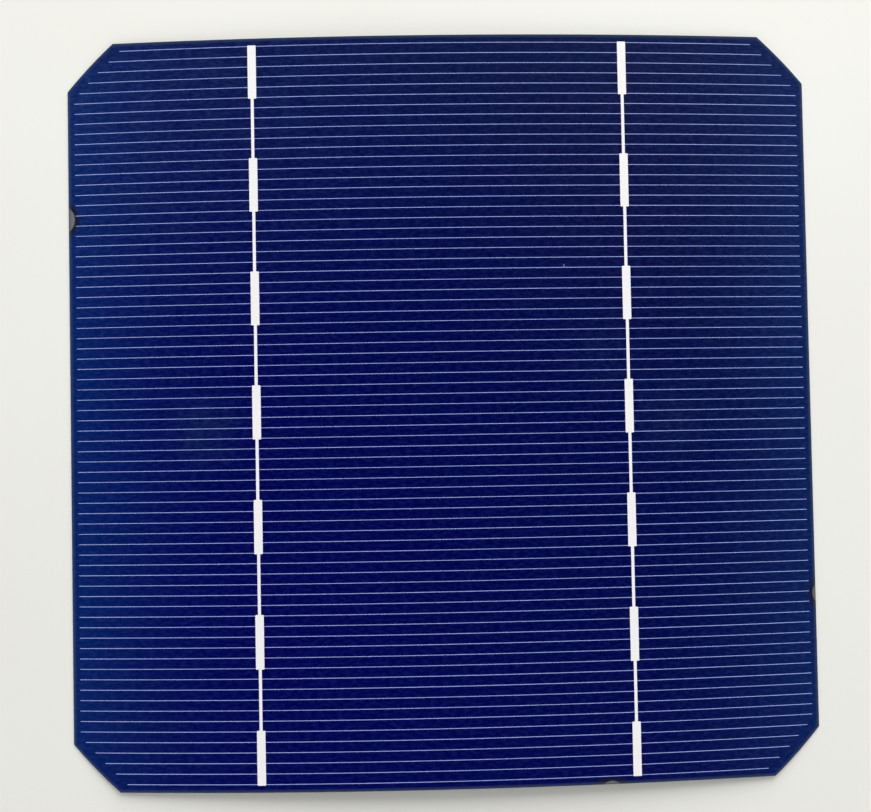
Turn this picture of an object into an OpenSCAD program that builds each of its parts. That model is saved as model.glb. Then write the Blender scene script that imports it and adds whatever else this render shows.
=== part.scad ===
// Solar cell: a thin pseudo-square wafer of single-crystal silicon with a printed
// silver grid on its sunny side, and an aluminium back with silver solder pads.
//
// The cell lies sunny side up on the plane z = 0, busbars along Y. Firing has bowed
// it about Y, so it stands on its left and right edges with its middle raised.

/* [Wafer] */
// Side of the wafer, measured flat
cell_side = 125; // [110:0.5:140]
// Diameter of the ingot that the wafer was cut from, which rounds its corners
ingot_d = 166; // [160:0.5:172]
// Thickness of the silicon
wafer_t = 0.2; // [0.12:0.01:0.4]
// Height of the middle over the two edges that the cell stands on
bow = 2.5; // [1:0.1:5]
// Flat strips that make up the bow
bow_strips = 14; // [6:2:24]

/* [Front fingers] */
// Number of fingers
finger_count = 72; // [40:1:90]
// Width of a finger
finger_w = 0.1; // [0.05:0.01:0.2]
// Left and right edge of the wafer to the finger ends
finger_end_margin = 1.2; // [0.5:0.05:4]
// Upper and lower edge of the wafer to the first and last finger
finger_row_margin = 1.35; // [0.5:0.05:4]
// Rounded corner of the wafer to the finger ends
finger_corner_margin = 1.8; // [0.5:0.05:4]
// Thickness of the fired silver on the front
front_silver_t = 0.02; // [0.01:0.005:0.05]

/* [Front busbars] */
// Distance between the two busbars
busbar_pitch = 62; // [40:0.5:80]
// Solder pads along a busbar
pad_count = 7; // [2:1:8]
// Fingers that run into one pad
pad_fingers = 6; // [2:1:7]
// Width of a pad
pad_w = 1.4; // [0.8:0.05:3]
// Length of a pad past its first and last finger
pad_overhang = 0.12; // [0.05:0.01:0.4]
// Width of the link between two pads
link_w = 0.5; // [0.2:0.05:0.8]

/* [Rear contact] */
// Edge of the wafer to the aluminium
aluminium_margin = 1.5; // [0.5:0.05:4]
// Thickness of the fired aluminium
aluminium_t = 0.03; // [0.02:0.005:0.06]
// Solder pads in a row on the rear, behind each busbar
rear_pad_count = 7; // [2:1:9]
// Width of a rear solder pad
rear_pad_w = 3; // [1.5:0.1:6]
// Length of a rear solder pad
rear_pad_l = 8; // [4:0.5:10]
// Aluminium that is left between its edge and the first and last rear pad
rear_pad_inset = 2.5; // [1:0.1:6]
// Thickness of the fired silver on the rear
rear_silver_t = 0.015; // [0.01:0.005:0.02]

/* [Hidden] */
// Sides of a drawn circle
$fn = 180;
// How far a cutting solid runs past what it cuts
cut_over = 1;
half_side = cell_side / 2;
// Radius of the bow, at the wafer's rear face
bow_r = half_side * half_side / (2 * bow);
strip_w = cell_side / bow_strips;

finger_pitch = (cell_side - 2 * finger_row_margin) / (finger_count - 1);
finger_end = half_side - finger_end_margin;
finger_corner_r = ingot_d / 2 - finger_corner_margin;
// Height of the front silver's upper face over the wafer's rear face
finger_top = wafer_t + front_silver_t;

busbars = [["left", -busbar_pitch / 2], ["right", busbar_pitch / 2]];
pad_step = (finger_count - pad_fingers) / (pad_count - 1);
// The first finger of each pad
pad_starts = [for (i = [0:pad_count - 1]) round(i * pad_step)];

aluminium_half = half_side - aluminium_margin;
rear_pad_reach = aluminium_half - rear_pad_inset - rear_pad_l / 2;
rear_pad_step = 2 * rear_pad_reach / (rear_pad_count - 1);

function finger_y(k) = half_side - finger_row_margin - k * finger_pitch;
function pad_upper(i) = finger_y(pad_starts[i]) + finger_w / 2 + pad_overhang;
function pad_lower(i) = finger_y(pad_starts[i] + pad_fingers - 1) - finger_w / 2 - pad_overhang;
function on_pad(k) = len([for (first = pad_starts) if (k >= first && k < first + pad_fingers) first]) > 0;
function bar_half_w(k) = (on_pad(k) ? pad_w : link_w) / 2;
function rear_pad_y(i) = rear_pad_reach - i * rear_pad_step;
function finger_reach(k) = min(finger_end, sqrt(pow(finger_corner_r, 2) - pow(finger_y(k), 2)));

// The places of the bow's creases, as distances from the middle of the flat wafer
function crease(i) = -half_side + i * strip_w;
// The angle, in degrees, that the bow turns through over a distance a from the middle
function bow_turn(a) = a / bow_r * 180 / PI;
// A crease's place [x, z] in the bowed cell, at height h over the wafer's rear face
function bent_crease(i, h) =
    let (turn = bow_turn(crease(i)))
    [(bow_r + h) * sin(turn), (bow_r + h) * cos(turn) - bow_r * cos(bow_turn(half_side))];
// The place [x, z] of any point: a is its distance from the middle of the flat wafer
function bent(a, h) =
    let (strip = (a + half_side) / strip_w, i = min(floor(strip), bow_strips - 1), share = strip - i)
    bent_crease(i, h) * (1 - share) + bent_crease(i + 1, h) * share;
// The distances from a0 to a1 at which a layer has a corner
function corners(a0, a1) =
    [a0, each [for (i = [1:bow_strips - 1]) if (crease(i) > a0 && crease(i) < a1) crease(i)], a1];

// A layer of the bowed cell, from a0 to a1 across it, y0 to y1 along it and h0 to h1 in height
module layer(a0, a1, y0, y1, h0, h1) {
    places = corners(a0, a1);
    lower = [for (a = places) bent(a, h0)];
    upper = [for (k = [len(places) - 1:-1:0]) bent(places[k], h1)];
    translate([0, y1, 0])
        rotate([90, 0, 0])
            linear_extrude(y1 - y0)
                polygon(concat(lower, upper));
}

// What is left of a layer inside a circle about the middle of the cell
module within_circle(r) {
    intersection() {
        children();
        translate([0, 0, -cut_over])
            cylinder(r = r, h = bow + finger_top + 2 * cut_over);
    }
}

module silicon_wafer() {
    color("midnightblue")
        within_circle(ingot_d / 2)
            layer(-half_side, half_side, -half_side, half_side, 0, wafer_t);
}

// The stretch of finger k from a0 to a1
module finger_run(k, a0, a1) {
    layer(a0, a1, finger_y(k) - finger_w / 2, finger_y(k) + finger_w / 2, wafer_t, finger_top);
}

// Every finger in three stretches, which meet the busbars face to face
module front_fingers() {
    color("lightsteelblue")
        for (k = [0:finger_count - 1]) {
            inner = busbar_pitch / 2 - bar_half_w(k);
            outer = busbar_pitch / 2 + bar_half_w(k);
            finger_run(k, -finger_reach(k), -outer);
            finger_run(k, -inner, inner);
            finger_run(k, outer, finger_reach(k));
        }
}

// The bare silicon from a0 to a1, beside the link from the pad before pad i
module beside_link(a0, a1, i) {
    layer(a0, a1, pad_upper(i), pad_lower(i - 1), wafer_t - cut_over, finger_top + cut_over);
}

// Pads joined by narrow links, printed as one bar
module front_busbar(a) {
    color("whitesmoke")
        difference() {
            layer(a - pad_w / 2, a + pad_w / 2, pad_lower(pad_count - 1), pad_upper(0), wafer_t, finger_top);
            for (i = [1:pad_count - 1]) {
                beside_link(a - pad_w / 2 - cut_over, a - link_w / 2, i);
                beside_link(a + link_w / 2, a + pad_w / 2 + cut_over, i);
            }
        }
}

module rear_pad_layer(a, i, h0, h1) {
    layer(a - rear_pad_w / 2, a + rear_pad_w / 2,
          rear_pad_y(i) - rear_pad_l / 2, rear_pad_y(i) + rear_pad_l / 2, h0, h1);
}

module rear_pad(a, i) {
    color("silver")
        rear_pad_layer(a, i, -rear_silver_t, 0);
}

// One printed sheet with a window round each rear pad
module rear_aluminium() {
    color("darkgray")
        difference() {
            within_circle(ingot_d / 2 - aluminium_margin)
                layer(-aluminium_half, aluminium_half, -aluminium_half, aluminium_half, -aluminium_t, 0);
            for (bar = busbars, i = [0:rear_pad_count - 1])
                rear_pad_layer(bar[1], i, -aluminium_t - cut_over, cut_over);
        }
}

function busbar_name(bar) = str("front_busbar_", bar[0]);
function rear_pad_name(bar, i) = str("rear_pad_", bar[0], "_", i + 1);

silicon_wafer();
front_fingers();
rear_aluminium();
for (bar = busbars) {
    front_busbar(bar[1]);
    for (i = [0:rear_pad_count - 1])
        rear_pad(bar[1], i);
}
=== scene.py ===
# %% [markdown]
# # A solar cell, from bare silicon to printed silver
# The object is one bare solar cell, lying sunny side up. It is a blue wafer of silicon as thin
# as a sheet of card, with fine silver fingers and two busbars printed on its front, and an
# aluminium back with solder pads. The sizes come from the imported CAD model, which is loaded
# first. Each layer is then modelled flat, as it was printed, and bent at the end, as firing
# bowed the real one.

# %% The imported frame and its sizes
import math
import random

import bpy
from mathutils import Matrix, Vector


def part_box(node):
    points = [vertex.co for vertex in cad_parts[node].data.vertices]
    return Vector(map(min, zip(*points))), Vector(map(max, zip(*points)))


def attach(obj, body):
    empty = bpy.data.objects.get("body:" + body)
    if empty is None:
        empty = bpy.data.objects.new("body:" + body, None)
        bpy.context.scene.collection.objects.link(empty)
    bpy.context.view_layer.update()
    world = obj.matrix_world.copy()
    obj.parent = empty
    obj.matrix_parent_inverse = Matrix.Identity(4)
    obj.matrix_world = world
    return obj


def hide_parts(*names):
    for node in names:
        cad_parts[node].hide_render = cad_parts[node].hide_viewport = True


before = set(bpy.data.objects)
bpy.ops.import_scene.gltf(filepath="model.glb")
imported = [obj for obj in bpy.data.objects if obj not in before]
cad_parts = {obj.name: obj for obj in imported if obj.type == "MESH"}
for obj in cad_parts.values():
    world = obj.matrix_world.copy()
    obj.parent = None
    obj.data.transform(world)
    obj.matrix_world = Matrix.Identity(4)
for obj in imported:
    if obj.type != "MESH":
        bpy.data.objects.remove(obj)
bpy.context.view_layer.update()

MM = 0.001
wafer_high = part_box("silicon_wafer")[1]
finger_low, finger_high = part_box("front_fingers")
aluminium_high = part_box("rear_aluminium")[1]

# The wafer's rear face touches the aluminium, so the middle of it is as high as that reaches.
rear_crown = aluminium_high.z
half_side = wafer_high.y
wafer_t = wafer_high.z - rear_crown
silver_t = finger_high.z - wafer_high.z
bow_radius = half_side ** 2 / (2 * rear_crown)
print(f"wafer {2 * half_side / MM:.1f} mm square, {wafer_t / MM:.2f} mm thick, "
      f"bowed to a radius of {bow_radius / MM:.0f} mm")

# %% [markdown]
# ## Tools for the bench
# Every layer of the cell is a flat sheet with straight cuts, so a few small helpers do most of
# the work. One opens a new primitive in edit mode, one cuts the mesh by a plane with the bisect
# operator, and one selects the edges or faces that a test asks for, as a mouse click would. The
# last one copies a finished piece, and gives each copy a mesh of its own.

# %% Open, cut, pick and copy


def start_piece(name):
    """Names the primitive that was just added, puts its place in its mesh and opens it."""
    piece = bpy.context.object
    piece.name = name
    piece.data.name = name
    bpy.ops.object.transform_apply(location=True, rotation=True, scale=True)
    bpy.ops.object.mode_set(mode="EDIT")
    return piece


def cut(axis, place, trim=False):
    """Cuts all of the open mesh by the plane at that place on the axis, or trims off what is beyond."""
    normal = Vector((0, 0, 0))
    normal["xyz".index(axis)] = math.copysign(1, place) if trim else 1
    position = Vector((0, 0, 0))
    position["xyz".index(axis)] = place
    bpy.ops.mesh.select_all(action="SELECT")
    bpy.ops.mesh.bisect(plane_co=position, plane_no=normal, clear_outer=trim)


def pick(piece, kind, wanted):
    """Selects those edges or faces of the open mesh that the test wants."""
    bpy.ops.mesh.select_mode(type=kind)
    bpy.ops.mesh.select_all(action="DESELECT")
    bpy.ops.object.mode_set(mode="OBJECT")
    for item in piece.data.edges if kind == "EDGE" else piece.data.polygons:
        item.select = wanted(item)
    bpy.ops.object.mode_set(mode="EDIT")


def ends_of(piece, edge):
    return [piece.data.vertices[i].co for i in edge.vertices]


def copy_of(piece, name, change):
    """A copy with its own mesh, moved or stretched by a matrix."""
    mesh = piece.data.copy()
    mesh.transform(change)
    copied = bpy.data.objects.new(name, mesh)
    bpy.context.scene.collection.objects.link(copied)
    return copied


def count(piece):
    print(f"{piece.name}: {len(piece.data.polygons)} faces")


# %% [markdown]
# ## The bow
# Aluminium shrinks more than silicon as the fired cell cools, and that bends the whole cell. A
# Simple Deform modifier does the same to a flat piece. Its axis is an empty that stands at the
# crown of the wafer's rear face, so every layer bends about one line and the layers stay in
# touch. Moving the vertices by a formula would do it too, but a modifier is how it is done by hand.

# %% Bend
bpy.ops.object.empty_add(location=(0, 0, rear_crown), rotation=(math.radians(90), 0, 0))
bow_axis = bpy.context.object
bow_axis.name = "bow_axis"


def bend(piece):
    """Bends a flat piece about Y by the bow of the cell."""
    bpy.context.view_layer.objects.active = piece
    across = [vertex.co.x for vertex in piece.data.vertices]
    bow = piece.modifiers.new("bow", "SIMPLE_DEFORM")
    bow.deform_method = "BEND"
    bow.deform_axis = "Z"
    bow.origin = bow_axis
    bow.angle = -(max(across) - min(across)) / bow_radius
    bpy.ops.object.modifier_apply(modifier="bow")


# %% [markdown]
# ## The wafer
# A single crystal of silicon grows as a round ingot. Its sides are sawn flat to make a square
# with rounded corners, and wires slice it into wafers. The mesh is made in the same order: a
# disc of the ingot's diameter is trimmed by four planes, and then gets its thickness. A square
# with bevelled corners would be quicker, but its corners would not be arcs of one circle.
# The grid of cuts lets the sheet bend smoothly.

# %% A disc, sawn square
INGOT_D = 166 * MM
DISC_SIDES = 720
GRID_CUTS = 50


def sheet_from_disc(name, radius, half, height, cuts):
    """A flat disc, trimmed to a square with rounded corners and cut into a grid."""
    bpy.ops.object.select_all(action="DESELECT")
    bpy.ops.mesh.primitive_circle_add(vertices=DISC_SIDES, radius=radius, fill_type="NGON",
                                      location=(0, 0, height))
    piece = start_piece(name)
    for axis in "xy":
        cut(axis, half, trim=True)
        cut(axis, -half, trim=True)
        for i in range(1, cuts):
            cut(axis, half * (2 * i / cuts - 1))
    return piece


def thicken(thickness):
    """Raises all of the open flat mesh into a closed slab."""
    bpy.ops.mesh.select_all(action="SELECT")
    bpy.ops.mesh.extrude_region_move(TRANSFORM_OT_translate={"value": (0, 0, thickness)})
    bpy.ops.mesh.select_all(action="SELECT")
    bpy.ops.mesh.normals_make_consistent(inside=False)
    bpy.ops.object.mode_set(mode="OBJECT")


wafer = sheet_from_disc("wafer", INGOT_D / 2, half_side, rear_crown, GRID_CUTS)
thicken(wafer_t)
count(wafer)

# %% Etched edges
# The saw leaves sharp edges, and the etch that follows rounds them by a few hundredths. Smooth
# shading stops at that rounding, or else the flat front would shine along its rim.
EDGE_ROUND = 0.03 * MM
SHARP = math.radians(40)
CREASE = math.radians(10)


def soften(piece, width):
    """Rounds every sharp edge of a piece."""
    bpy.context.view_layer.objects.active = piece
    rounding = piece.modifiers.new("rounding", "BEVEL")
    rounding.width = width
    rounding.segments = 2
    rounding.limit_method = "ANGLE"
    rounding.angle_limit = SHARP
    bpy.ops.object.modifier_apply(modifier="rounding")


soften(wafer, EDGE_ROUND)
bend(wafer)
bpy.ops.object.shade_smooth_by_angle(angle=CREASE)
count(wafer)

# %% [markdown]
# ## The fingers
# Fingers are hair lines of silver paste, pressed through a screen and fired into the silicon.
# They gather the current and lead it to the busbars. All of them share one cross-section, low
# and domed, so one run is modelled and then copied into every stretch between the edges and the
# busbars. Each copy gets its own length and, as no print is perfect, a slightly different width.

# %% One finger run
FINGERS = 72
FINGER_W = 0.1 * MM
RUN_L = 60 * MM
RUN_CUTS = 10
DOME = 35  # per cent of the run's sides that the bevel takes away
silver_height = wafer_high.z + silver_t / 2

bpy.ops.object.select_all(action="DESELECT")
bpy.ops.mesh.primitive_cube_add(size=1, location=(0, 0, silver_height), scale=(RUN_L, FINGER_W, silver_t))
run = start_piece("finger_run")


def long_upper_edge(edge):
    a, b = ends_of(run, edge)
    return min(a.z, b.z) > silver_height and a.y == b.y


pick(run, "EDGE", long_upper_edge)
bpy.ops.mesh.bevel(offset_type="PERCENT", offset_pct=DOME, segments=1)
for i in range(1, RUN_CUTS):
    cut("x", RUN_L * (i / RUN_CUTS - 0.5))
bpy.ops.object.mode_set(mode="OBJECT")
count(run)

# %% [markdown]
# ## Where the fingers run
# The fingers are evenly spaced. They stop short of the left and right edges, and short of the
# rounded corners by a little more. At a busbar a finger breaks off where the silver of the bar
# begins, and that depends on whether it meets a wide solder pad or a narrow link. The print
# also left one flaw, a short spur on a finger to the right of the middle.

# %% Every stretch of every finger
BUSBAR_X = 31 * MM
PADS = 7
PAD_FINGERS = 6
PAD_W = 1.4 * MM
LINK_W = 0.5 * MM
FINGER_END = 61.3 * MM
FINGER_CORNER_R = 81.2 * MM
NARROWEST = 0.88  # the narrowest stretch, as a share of the finger's width
finger_pitch = (finger_high.y - finger_low.y - FINGER_W) / (FINGERS - 1)
pad_starts = [round(i * (FINGERS - PAD_FINGERS) / (PADS - 1)) for i in range(PADS)]
print_wobble = random.Random(7)


def finger_y(k):
    return finger_high.y - FINGER_W / 2 - k * finger_pitch


def run_in_place(x, y, length, width):
    """A copy of the run with its middle at that place."""
    stretch = Matrix.Diagonal((length / RUN_L, width / FINGER_W, 1, 1))
    return copy_of(run, "fingers", Matrix.Translation((x, y, 0)) @ stretch)


stretches = []
for k in range(FINGERS):
    y = finger_y(k)
    reach = min(FINGER_END, math.sqrt(FINGER_CORNER_R ** 2 - y ** 2))
    on_pad = any(first <= k < first + PAD_FINGERS for first in pad_starts)
    bar_half = (PAD_W if on_pad else LINK_W) / 2
    inner, outer = BUSBAR_X - bar_half, BUSBAR_X + bar_half
    for start, end in ((-reach, -outer), (-inner, inner), (outer, reach)):
        width = FINGER_W * print_wobble.uniform(NARROWEST, 1)
        stretches.append(run_in_place((start + end) / 2, y, end - start, width))
print(f"{len(stretches)} stretches, {finger_pitch / MM:.2f} mm apart")

# %% A spur, and all of it joined
SPUR_FINGER = 22
SPUR_X = 20.5 * MM
SPUR_W = 0.08 * MM
SPUR_L = 0.5 * MM
stretches.append(run_in_place(SPUR_X, finger_y(SPUR_FINGER) + SPUR_L / 2, SPUR_W, SPUR_L))
bpy.data.objects.remove(run)

bpy.ops.object.select_all(action="DESELECT")
for stretch in stretches:
    stretch.select_set(True)
bpy.context.view_layer.objects.active = stretches[0]
bpy.ops.object.join()
fingers = bpy.context.object
fingers.name = "fingers"
bend(fingers)
count(fingers)

# %% [markdown]
# ## The busbars
# A busbar is a row of solder pads, joined by narrow links and printed in one go. It starts as
# one long strip of the link's width. The strip is cut at the ends of the pads, and the side
# faces of those stretches are pulled out to the width of a pad. That gives one closed skin,
# where a row of overlapping boxes would leave faces inside.

# %% A strip with its pads pulled out
PAD_OVERHANG = 0.12 * MM
past_finger = FINGER_W / 2 + PAD_OVERHANG
pad_ends = [(finger_y(first + PAD_FINGERS - 1) - past_finger, finger_y(first) + past_finger)
            for first in pad_starts]
bar_top, bar_bottom = pad_ends[0][1], pad_ends[-1][0]

bpy.ops.object.select_all(action="DESELECT")
bpy.ops.mesh.primitive_cube_add(size=1, location=(0, (bar_top + bar_bottom) / 2, silver_height),
                                scale=(LINK_W, bar_top - bar_bottom, silver_t))
bar_print = start_piece("bar_print")
for lower, upper in pad_ends:
    if lower > bar_bottom:
        cut("y", lower)
    if upper < bar_top:
        cut("y", upper)


def beside_pad(face, side):
    return face.normal.x * side > 0.9 and any(lower < face.center.y < upper for lower, upper in pad_ends)


for side in (-1, 1):
    pick(bar_print, "FACE", lambda face: beside_pad(face, side))
    bpy.ops.mesh.extrude_region_move(
        TRANSFORM_OT_translate={"value": (side * (PAD_W - LINK_W) / 2, 0, 0)})
print(f"{len(pad_ends)} pads, each {(pad_ends[0][1] - pad_ends[0][0]) / MM:.2f} mm long")

# %% Paste that rounds itself
# Wet paste draws in at the corners of a pad, so the upright edges there get a small radius.
PAD_CORNER = 0.1 * MM
SILVER_ROUND = 0.006 * MM


def pad_corner(edge):
    a, b = ends_of(bar_print, edge)
    return abs(a.z - b.z) > silver_t / 2 and abs(a.x) > PAD_W / 2 - PAD_CORNER


pick(bar_print, "EDGE", pad_corner)
bpy.ops.mesh.bevel(offset=PAD_CORNER, segments=3)
bpy.ops.object.mode_set(mode="OBJECT")
soften(bar_print, SILVER_ROUND)

sides = {"left": -BUSBAR_X, "right": BUSBAR_X}
busbars = {}
for name, x in sides.items():
    busbars[name] = copy_of(bar_print, f"busbar_{name}_silver", Matrix.Translation((x, 0, 0)))
    bend(busbars[name])
    count(busbars[name])
bpy.data.objects.remove(bar_print)

# %% [markdown]
# ## The aluminium back
# The rear is one sheet of aluminium paste that stops short of the edges, with a window for each
# solder pad, because solder does not hold on aluminium. It is made as the wafer was, from a
# disc trimmed to a square. The edges of the windows are cut across the sheet, and the faces
# that fall inside a window are deleted before the sheet gets its thickness.

# %% A printed sheet with windows
ALUMINIUM_R = 81.5 * MM
ALUMINIUM_T = 0.03 * MM
ALUMINIUM_CUTS = 24
REAR_PAD_W = 3 * MM
rear_rows = [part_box(f"rear_pad_left_{i + 1}") for i in range(PADS)]
windows = [(low.y, high.y) for low, high in rear_rows]

aluminium = sheet_from_disc("aluminium_back", ALUMINIUM_R, aluminium_high.y,
                            rear_crown - ALUMINIUM_T, ALUMINIUM_CUTS)
for x in sides.values():
    cut("x", x - REAR_PAD_W / 2)
    cut("x", x + REAR_PAD_W / 2)
for lower, upper in windows:
    cut("y", lower)
    cut("y", upper)


def in_window(face):
    behind_bar = abs(abs(face.center.x) - BUSBAR_X) < REAR_PAD_W / 2
    return behind_bar and any(lower < face.center.y < upper for lower, upper in windows)


pick(aluminium, "FACE", in_window)
bpy.ops.mesh.delete(type="FACE")
thicken(ALUMINIUM_T)
bend(aluminium)
count(aluminium)

# %% [markdown]
# ## The rear solder pads
# In each window sits a thin pad of silver. One pad is modelled in the middle of the cell, with
# the rounded corners that wet paste takes, and copied into every window.

# %% One pad, copied into every window
REAR_SILVER_T = 0.015 * MM
REAR_PAD_CORNER = 0.15 * MM
rear_pad_l = windows[0][1] - windows[0][0]
bpy.ops.object.select_all(action="DESELECT")
bpy.ops.mesh.primitive_cube_add(size=1, location=(0, 0, rear_crown - REAR_SILVER_T / 2),
                                scale=(REAR_PAD_W, rear_pad_l, REAR_SILVER_T))
pad_print = start_piece("pad_print")


def upright(edge):
    a, b = ends_of(pad_print, edge)
    return abs(a.z - b.z) > REAR_SILVER_T / 2


pick(pad_print, "EDGE", upright)
bpy.ops.mesh.bevel(offset=REAR_PAD_CORNER, segments=3)
cut("x", 0)
bpy.ops.object.mode_set(mode="OBJECT")

solder_pads = {}
for name, x in sides.items():
    for i, (lower, upper) in enumerate(windows, start=1):
        pad = copy_of(pad_print, f"solder_pad_{name}_{i}", Matrix.Translation((x, (lower + upper) / 2, 0)))
        bend(pad)
        solder_pads[name, i] = pad
bpy.data.objects.remove(pad_print)
bpy.data.objects.remove(bow_axis)
print(f"{len(solder_pads)} rear solder pads, {rear_pad_l / MM:.1f} mm long")

# %% [markdown]
# ## Tools for the materials
# Colours are written as sRGB hex values, as a colour picker shows them, and one function turns
# them into the linear numbers that Blender mixes. A second function adds a node, with its
# settings, its plain values and its links in one call.

# %% Colours and nodes


def colour(code):
    """Linear RGBA of an sRGB hex colour."""
    parts = [int(code[i:i + 2], 16) / 255 for i in (1, 3, 5)]
    return [p / 12.92 if p <= 0.04045 else ((p + 0.055) / 1.055) ** 2.4 for p in parts] + [1]


def add_node(tree, kind, inputs, **settings):
    """Adds a shader node. An input is a plain value or the output socket of another node."""
    node = tree.nodes.new("ShaderNode" + kind)
    for setting, value in settings.items():
        setattr(node, setting, value)
    for socket, value in inputs.items():
        if isinstance(value, bpy.types.NodeSocket):
            tree.links.new(value, node.inputs[socket])
        else:
            node.inputs[socket].default_value = value
    return node.outputs


def new_material(name, **sockets):
    """A material whose shader has these plain values, with the plan position in millimetres."""
    material = bpy.data.materials.new(name)
    material.use_nodes = True
    tree = material.node_tree
    shader = tree.nodes["Principled BSDF"]
    for socket, value in sockets.items():
        shader.inputs[socket.replace("_", " ")].default_value = value
    place = add_node(tree, "TexCoord", {})["Object"]
    plan = add_node(tree, "VectorMath", {0: place, 1: (1 / MM, 1 / MM, 0)}, operation="MULTIPLY")[0]
    return material, tree, shader, plan


# %% [markdown]
# ## Coated silicon
# The front of the wafer is etched into pyramids a few thousandths of a millimetre high and then
# coated with silicon nitride. The film is so thin that red and green cancel out in it, and only
# blue comes back. It is matt to the eye. Between the busbars the film is even. Beyond them it
# grows thicker towards the edge, which turns the blue towards green. From the lower left to the
# upper right the blue gets darker and greyer, and that drift is a painted reflection of the room's
# light. One flat blue would look like plastic, so four tones are mixed.

# %% The tone of the film
nitride, tree, shader, plan = new_material("silicon_nitride_on_textured_silicon", Roughness=0.33, IOR=2.0,
                                           Specular_IOR_Level=0.0275, Specular_Tint=colour("#96ED6A"))
EVEN_FILM = 30.0            # mm from the middle, over which the film keeps its thickness
LATE_RISE = 2.5             # the power by which it thickens late, close to the edge
# The drift along this way is a painted reflection: towards the upper right the blue is made greyer, as by
# the room's light mirrored there.
SHEEN_WAY = (1, 0.7, 0)     # the way in which it darkens, to the right and up
SHEEN_ENDS = (-60.0, 55.0)  # mm along that way
place = add_node(tree, "SeparateXYZ", {0: plan})
sideways = add_node(tree, "Math", {0: place["X"]}, operation="ABSOLUTE")[0]
rise = add_node(tree, "MapRange", {"Value": sideways, "From Min": EVEN_FILM,
                                   "From Max": wafer_high.x / MM})["Result"]
thicker = add_node(tree, "Math", {0: rise, 1: LATE_RISE}, operation="POWER")[0]
uphill = add_node(tree, "VectorMath", {0: plan, 1: SHEEN_WAY}, operation="DOT_PRODUCT")["Value"]
painted_sheen = add_node(tree, "MapRange", {"Value": uphill, "From Min": SHEEN_ENDS[0],
                                    "From Max": SHEEN_ENDS[1]})["Result"]
# The second tone of each pair, at the upper right, carries the painted reflection.
middle = add_node(tree, "MixRGB", {"Fac": painted_sheen, "Color1": colour("#00014E"),
                                   "Color2": colour("#00063D")})[0]
rim = add_node(tree, "MixRGB", {"Fac": painted_sheen, "Color1": colour("#011F5F"),
                                "Color2": colour("#061C4F")})[0]
film = add_node(tree, "MixRGB", {"Fac": thicker, "Color1": middle, "Color2": rim})[0]

# %% [markdown]
# ## A grey veil over the blue
# From close by the blue is not even. Some of the pyramids catch the light as fine grey glints,
# which are painted into the colour as highlights, drawn out along the marks of the saw and stronger
# beyond the busbars, and the film is a little cloudy. Both lay a faint grey over the film. Handling
# has left small smears where fingers touched the cell. The two broad patches near its upper corners
# are no smears but a painted reflection of the room's light. A colour is added for each, because a
# smear scatters light on top of the blue and does not tint it, and the painted reflection is added
# in the same way. Each lies on the pyramids, so it has the same grain.

# %% Painted glints, and clouds
# Noise varies about 0.5. Where it is under the start of its range, it adds no grey.
GLINT = 0.47        # mm high: far coarser than the pyramids, so that it shows
GLINT_LENGTH = 2.3  # times as long along the saw marks as across them
CLOUD = 3.0         # mm across
RIM_GLINTS = 1.5    # how strong the glints are at the edge, with 1 between the busbars
drawn_out = add_node(tree, "Mapping", {"Vector": plan, "Scale": (1 / GLINT_LENGTH, 1, 1)})[0]
glint = add_node(tree, "TexNoise", {"Vector": drawn_out, "Scale": 1 / GLINT, "Detail": 1.0})["Fac"]
cloud = add_node(tree, "TexNoise", {"Vector": plan, "Scale": 1 / CLOUD, "Detail": 3.0})["Fac"]
sparkle = add_node(tree, "MapRange", {"Value": glint, "From Min": 0.4, "From Max": 1.54})["Result"]
stronger = add_node(tree, "MapRange", {"Value": rise, "To Min": 1.0, "To Max": RIM_GLINTS})["Result"]
glints = add_node(tree, "Math", {0: sparkle, 1: stronger}, operation="MULTIPLY")[0]
clouding = add_node(tree, "MapRange", {"Value": cloud, "From Min": 0.4, "From Max": 0.8,
                                       "To Max": 0.03})["Result"]
veil = add_node(tree, "Math", {0: glints, 1: clouding}, operation="ADD")[0]
# Painted highlights: the glints, with the clouding, add this grey to the film's colour.
haze = add_node(tree, "VectorMath", {0: colour("#212457")[:3], 3: veil}, operation="SCALE")[0]
blue = add_node(tree, "VectorMath", {0: film, 1: haze}, operation="ADD")[0]

# %% Smears, and painted reflection near the upper corners
# Place and radius in millimetres, and the colour that is added in the middle. The first two, broad
# and near the upper corners, are painted reflection of the room's light, and the other three are smears.
SMEARS_AND_SHEEN = ((39.5, 49.0, 60.0, "#090800"), (-44.0, 68.0, 70.0, "#0B1417"),
          (-39.6, -3.0, 9.0, "#09150B"), (38.0, -2.5, 10.0, "#070F0F"), (26.5, 8.0, 10.0, "#04080D"))
patchy = add_node(tree, "MapRange", {"Value": cloud, "From Min": 0.3, "From Max": 0.7,
                                     "To Min": 0.6, "To Max": 1.4})["Result"]
grainy = add_node(tree, "MapRange", {"Value": glint, "To Min": 0.2, "To Max": 1.8})["Result"]
uneven = add_node(tree, "Math", {0: patchy, 1: grainy}, operation="MULTIPLY")[0]
for x, y, radius, code in SMEARS_AND_SHEEN:
    away = add_node(tree, "VectorMath", {0: plan, 1: (x, y, 0)}, operation="DISTANCE")["Value"]
    fade = add_node(tree, "MapRange", {"Value": away, "From Max": radius, "To Min": 1.0, "To Max": 0.0},
                    interpolation_type="SMOOTHSTEP")["Result"]
    patches = add_node(tree, "Math", {0: fade, 1: uneven}, operation="MULTIPLY")[0]
    smear_and_sheen = add_node(tree, "VectorMath", {0: colour(code)[:3], 3: patches}, operation="SCALE")[0]
    blue = add_node(tree, "VectorMath", {0: blue, 1: smear_and_sheen}, operation="ADD")[0]

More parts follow.
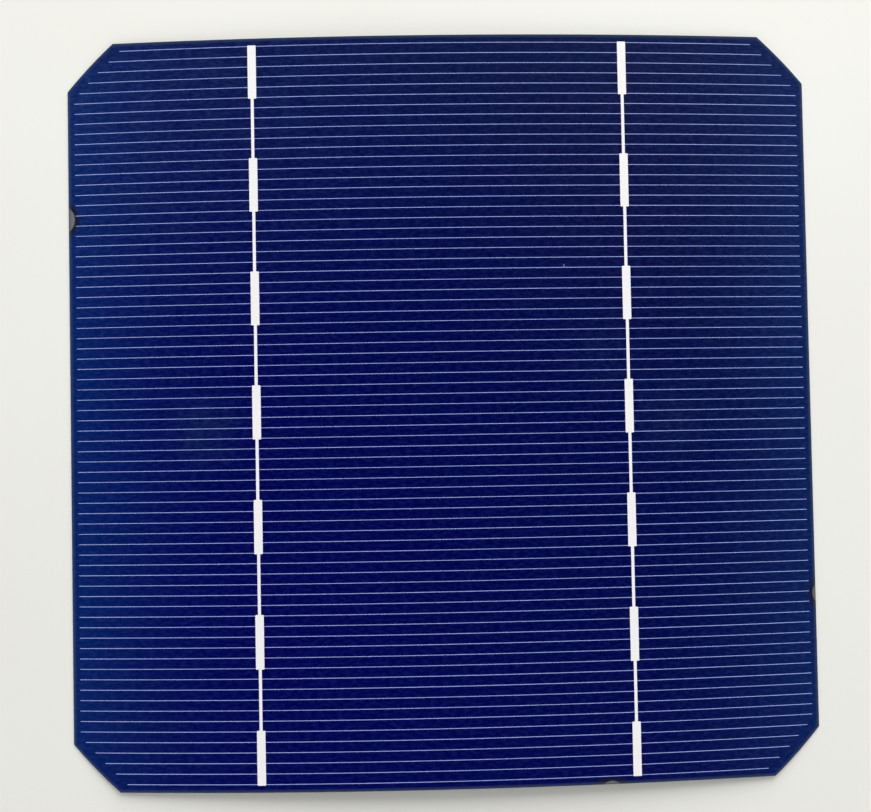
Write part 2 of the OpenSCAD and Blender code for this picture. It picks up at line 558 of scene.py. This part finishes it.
# %% [markdown]
# ## Bare marks and a grey rim
# While the film grew, the wafer leaned on three pins of its carrier. At a pin no film grew, so
# the bare grey silicon shows in a small round that the edge cuts off, with a dark fringe where
# the film is too thin to be blue. The film also ends just short of the edge, all the way round,
# and leaves a grey rim there. The marks have no thickness, so they belong in the material.

# %% Rounds that the edge cuts off
# Each mark's point on the edge, then the depth and width of its bare round and of its fringe, in mm
PIN_MARKS = (((-62.5, 32.95), (1.1, 4.1), (1.9, 6.0)),
             ((62.5, -32.2), (0.6, 3.1), (1.35, 6.0)),
             ((26.7, -62.5), (0.55, 2.8), (1.2, 6.4)))


def past_round(point, depth, width):
    """Distance in millimetres past the round that the edge cuts off so deep and so wide."""
    x, y = point
    radius = (width ** 2 / 4 + depth ** 2) / (2 * depth)
    outward = Vector((x, 0, 0) if abs(x) > abs(y) else (0, y, 0)).normalized()
    centre = Vector((x, y, 0)) + outward * (radius - depth)
    away = add_node(tree, "VectorMath", {0: plan, 1: centre}, operation="DISTANCE")["Value"]
    return add_node(tree, "Math", {0: away, 1: radius}, operation="SUBTRACT")[0]


RAGGED = 0.25              # mm, by which the fringe wanders in and out
FRINGE_FADE = (-0.6, 0.3)  # mm past its round, over which the fringe turns blue
BARE_FADE = (-0.1, 0.1)    # mm past its round, over which the bare grey ends
frayed = add_node(tree, "MapRange", {"Value": glint, "To Min": -RAGGED, "To Max": RAGGED})["Result"]
for point, bare_size, fringe_size in PIN_MARKS:
    past_fringe = add_node(tree, "Math", {0: past_round(point, *fringe_size), 1: frayed},
                           operation="ADD")[0]
    fringe = add_node(tree, "MapRange", {"Value": past_fringe,
                                         "From Min": FRINGE_FADE[0], "From Max": FRINGE_FADE[1],
                                         "To Min": 1.0, "To Max": 0.0})["Result"]
    bare = add_node(tree, "MapRange", {"Value": past_round(point, *bare_size),
                                       "From Min": BARE_FADE[0], "From Max": BARE_FADE[1],
                                       "To Min": 1.0, "To Max": 0.0})["Result"]
    blue = add_node(tree, "MixRGB", {"Fac": fringe, "Color1": blue, "Color2": colour("#1B1921")})[0]
    blue = add_node(tree, "MixRGB", {"Fac": bare, "Color1": blue, "Color2": colour("#716F76")})[0]

# %% Grey rim, and the finished coat
# The rim follows the distance from the nearest edge, straight or rounded.
RIM_W = 0.6     # mm
RIM_GREY = 0.7  # share of grey at the very edge
radius = add_node(tree, "VectorMath", {0: plan}, operation="LENGTH")["Value"]
upwards = add_node(tree, "Math", {0: place["Y"]}, operation="ABSOLUTE")[0]
inset = None
for limit, reached in ((wafer_high.x, sideways), (wafer_high.y, upwards), (INGOT_D / 2, radius)):
    gap = add_node(tree, "Math", {0: limit / MM, 1: reached}, operation="SUBTRACT")[0]
    inset = gap if inset is None else add_node(tree, "Math", {0: inset, 1: gap}, operation="MINIMUM")[0]
grey_rim = add_node(tree, "MapRange", {"Value": inset, "From Min": 0.0, "From Max": RIM_W,
                                      "To Min": RIM_GREY, "To Max": 0.0})["Result"]
blue = add_node(tree, "MixRGB", {"Fac": grey_rim, "Color1": blue, "Color2": colour("#404F62")})[0]
tree.links.new(blue, shader.inputs["Base Color"])

pyramids = add_node(tree, "Bump", {"Height": glint, "Strength": 0.15, "Distance": 0.02 * MM})["Normal"]
tree.links.new(pyramids, shader.inputs["Normal"])
print(f"{nitride.name}: {len(tree.nodes)} nodes")

# %% [markdown]
# ## Sawn and bare silicon
# The wafer's edge is plain sawn silicon, dark grey with the fine lines of the wire. Its rear
# shows only in the narrow margin round the aluminium, and has the same grey.

# %% Sawn edge and rear margin
sawn, tree, shader, plan = new_material("sawn_silicon", Roughness=0.55, IOR=3.9, Specular_IOR_Level=0.2)
SAW_LINE = 0.5  # mm, coarser than real saw marks so that it shows
saw = add_node(tree, "TexNoise", {"Vector": plan, "Scale": 1 / SAW_LINE, "Detail": 3.0})["Fac"]
grey = add_node(tree, "MixRGB", {"Fac": saw, "Color1": colour("#23252C"),
                                 "Color2": colour("#3A3C44")})[0]
tree.links.new(grey, shader.inputs["Base Color"])

# Faces that look up are coated, and all others are bare.
for face in wafer.data.polygons:
    face.material_index = 0 if face.normal.z > 0.5 else 1
wafer.data.materials.append(nitride)
wafer.data.materials.append(sawn)
print(f"{sum(face.material_index == 0 for face in wafer.data.polygons)} coated faces")

# %% [markdown]
# ## Fired silver
# Fired silver paste is a sponge of silver grains and a little glass. It has the white of silver
# and none of its shine, because light leaves it in all directions. Solder pads are broad enough
# to show that white. A finger is so thin that the blue of the wafer shines through its edges,
# and its print is uneven over half a millimetre, where a pad shows only its grain.

# %% Fired silver paste
PASTE_GRAIN = 0.12  # mm, a few silver grains together
LINE_GRAIN = 0.6    # mm, thick and thin places along a finger


def fired_silver(name, size, dark, light):
    """Matt silver whose tone and height vary with a grain of that size in millimetres."""
    material, tree, shader, plan = new_material(name, Metallic=1.0, Roughness=1.0)
    grain = add_node(tree, "TexNoise", {"Vector": plan, "Scale": 1 / size, "Detail": 3.0})["Fac"]
    silver = add_node(tree, "MixRGB", {"Fac": grain, "Color1": colour(dark), "Color2": colour(light)})[0]
    bumps = add_node(tree, "Bump", {"Height": grain, "Strength": 0.3, "Distance": 0.005 * MM})["Normal"]
    tree.links.new(silver, shader.inputs["Base Color"])
    tree.links.new(bumps, shader.inputs["Normal"])
    print(f"{name}: {len(tree.nodes)} nodes")
    return material


pad_silver = fired_silver("fired_silver_paste", PASTE_GRAIN, "#F2F1F0", "#FCFBFA")
finger_silver = fired_silver("fired_silver_paste_fine_lines", LINE_GRAIN, "#B8C5EB", "#CCD7FC")
for bar in busbars.values():
    bar.data.materials.append(pad_silver)
fingers.data.materials.append(finger_silver)

# %% [markdown]
# ## Fired aluminium
# Aluminium paste fires to a matt, slightly sandy grey. Its grain is coarser than the silver's,
# with a faint cloudiness where the paste was thicker.

# %% Aluminium paste and the rear silver
aluminium_paste, tree, shader, plan = new_material("fired_aluminium_paste", Metallic=0.6, Roughness=0.75)
SAND = 0.2      # mm, the sandy grain of the paste
THICKER = 14.0  # mm across, patches where the screen left more paste
sand = add_node(tree, "TexNoise", {"Vector": plan, "Scale": 1 / SAND, "Detail": 2.0})["Fac"]
patch = add_node(tree, "TexNoise", {"Vector": plan, "Scale": 1 / THICKER, "Detail": 3.0})["Fac"]
mixed = add_node(tree, "Math", {0: sand, 1: patch}, operation="MULTIPLY")[0]
grey = add_node(tree, "MixRGB", {"Fac": mixed, "Color1": colour("#77787A"),
                                 "Color2": colour("#B9BABC")})[0]
bumps = add_node(tree, "Bump", {"Height": sand, "Strength": 0.4, "Distance": 0.01 * MM})["Normal"]
tree.links.new(grey, shader.inputs["Base Color"])
tree.links.new(bumps, shader.inputs["Normal"])
aluminium.data.materials.append(aluminium_paste)
print(f"{aluminium_paste.name}: {len(tree.nodes)} nodes")

rear_silver = fired_silver("fired_silver_paste_rear", PASTE_GRAIN, "#D2D1CC", "#E6E5E0")
for pad in solder_pads.values():
    pad.data.materials.append(rear_silver)

# %% [markdown]
# ## Ties to the frame
# Nothing on a cell moves, so every piece rides on the one body. Each piece is listed with a
# finish and the CAD solid that it stands for. The solid is hidden, and the finish is not used here.

# %% Ride and replace
pieces = [(wafer, "coated_silicon", "silicon_wafer"),
          (fingers, "front_silver", "front_fingers"),
          (aluminium, "rear_aluminium", "rear_aluminium")]
pieces += [(bar, "front_silver", f"front_busbar_{name}") for name, bar in busbars.items()]
pieces += [(pad, "rear_silver", f"rear_pad_{name}_{i}") for (name, i), pad in solder_pads.items()]
for piece, slot, node in pieces:
    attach(piece, "root")
    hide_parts(node)
print(f"{len(pieces)} pieces ride on the cell")

# %% [markdown]
# ## The table
# The cell lies on a plain pale table. It is a large plane, so that its far edge is out of sight,
# and its paint is faintly uneven.

# %% Pale table
FLOOR = 30.0   # m across
SMUDGE = 60.0  # mm across
bpy.ops.object.select_all(action="DESELECT")
bpy.ops.mesh.primitive_plane_add(size=FLOOR, location=(0, 0, 0))
floor = bpy.context.object
floor.name = "table_top"
table, tree, shader, plan = new_material("painted_table_top", Roughness=0.6)
smudge = add_node(tree, "TexNoise", {"Vector": plan, "Scale": 1 / SMUDGE, "Detail": 2.0})["Fac"]
pale = add_node(tree, "MixRGB", {"Fac": smudge, "Color1": colour("#ECEBE2"),
                                 "Color2": colour("#F3F2EB")})[0]
tree.links.new(pale, shader.inputs["Base Color"])
floor.data.materials.append(table)
print(f"{floor.name}: {FLOOR:.0f} m across")

# %% [markdown]
# ## Light
# The light is soft, as by a window on a dull day. Half of it comes from the world, as from the
# walls of a pale room. Straight overhead the room is dark, and the middle of the cell mirrors
# that, which keeps its blue deep. Near the horizon the world is as grey as the far end of the
# table, so that the two run into each other. The other half is the window, a large lamp beyond
# the top of the cell. It stands low enough for the cell not to mirror it.

# %% A room that is dark overhead
# The height of a direction is 0 at the horizon and 1 straight overhead.
scene = bpy.context.scene
world = bpy.data.worlds.new("soft_daylight")
world.use_nodes = True
tree = world.node_tree
height = add_node(tree, "SeparateXYZ", {0: add_node(tree, "TexCoord", {})["Generated"]})["Z"]
overhead = add_node(tree, "MapRange", {"Value": height, "From Min": 0.62, "From Max": 0.92,
                                       "To Min": 0.99, "To Max": 0.0},
                    interpolation_type="SMOOTHSTEP")["Result"]
horizon = add_node(tree, "MapRange", {"Value": height, "From Min": 0.0, "From Max": 0.3,
                                      "To Min": 0.57, "To Max": 1.0},
                   interpolation_type="SMOOTHSTEP")["Result"]
level = add_node(tree, "Math", {0: overhead, 1: horizon}, operation="MULTIPLY")[0]
tree.links.new(level, tree.nodes["Background"].inputs["Strength"])
tree.nodes["Background"].inputs["Color"].default_value = colour("#FBFCFF")
scene.world = world

# %% Window
WINDOW_PLACE = Vector((0.18, 0.9, 0.49))  # in metres
lamp = bpy.data.lights.new("window_light", "AREA")
lamp.size = 0.75
lamp.energy = 11.3
window = bpy.data.objects.new("window_light", lamp)
window.location = WINDOW_PLACE
window.rotation_euler = (-WINDOW_PLACE).to_track_quat("-Z", "Y").to_euler()
scene.collection.objects.link(window)
print(f"{window.name}: {lamp.energy} W, {WINDOW_PLACE.length:.2f} m away")

# %% [markdown]
# ## Camera
# The photograph was taken from straight above and from close by, with a wide lens, and the
# camera was turned by about one degree. The place, the turn and the lens were worked out from the
# outline of the wafer.

# %% Camera above the cell
CAMERA_PLACE = (-3.33 * MM, -1.76 * MM, 129.27 * MM)
CAMERA_TURN = (1.043, -0.875, -1.058)  # in degrees
camera = bpy.data.cameras.new("camera")
camera.sensor_fit = "HORIZONTAL"
camera.sensor_width = 36
camera.lens = 31.62
camera.clip_start = 0.01
camera_stand = bpy.data.objects.new("camera", camera)
camera_stand.location = CAMERA_PLACE
camera_stand.rotation_euler = [math.radians(turn) for turn in CAMERA_TURN]
scene.collection.objects.link(camera_stand)
scene.camera = camera_stand
scene.view_settings.view_transform = "Standard"
print(f"camera {camera_stand.location.z / MM:.0f} mm above the table")
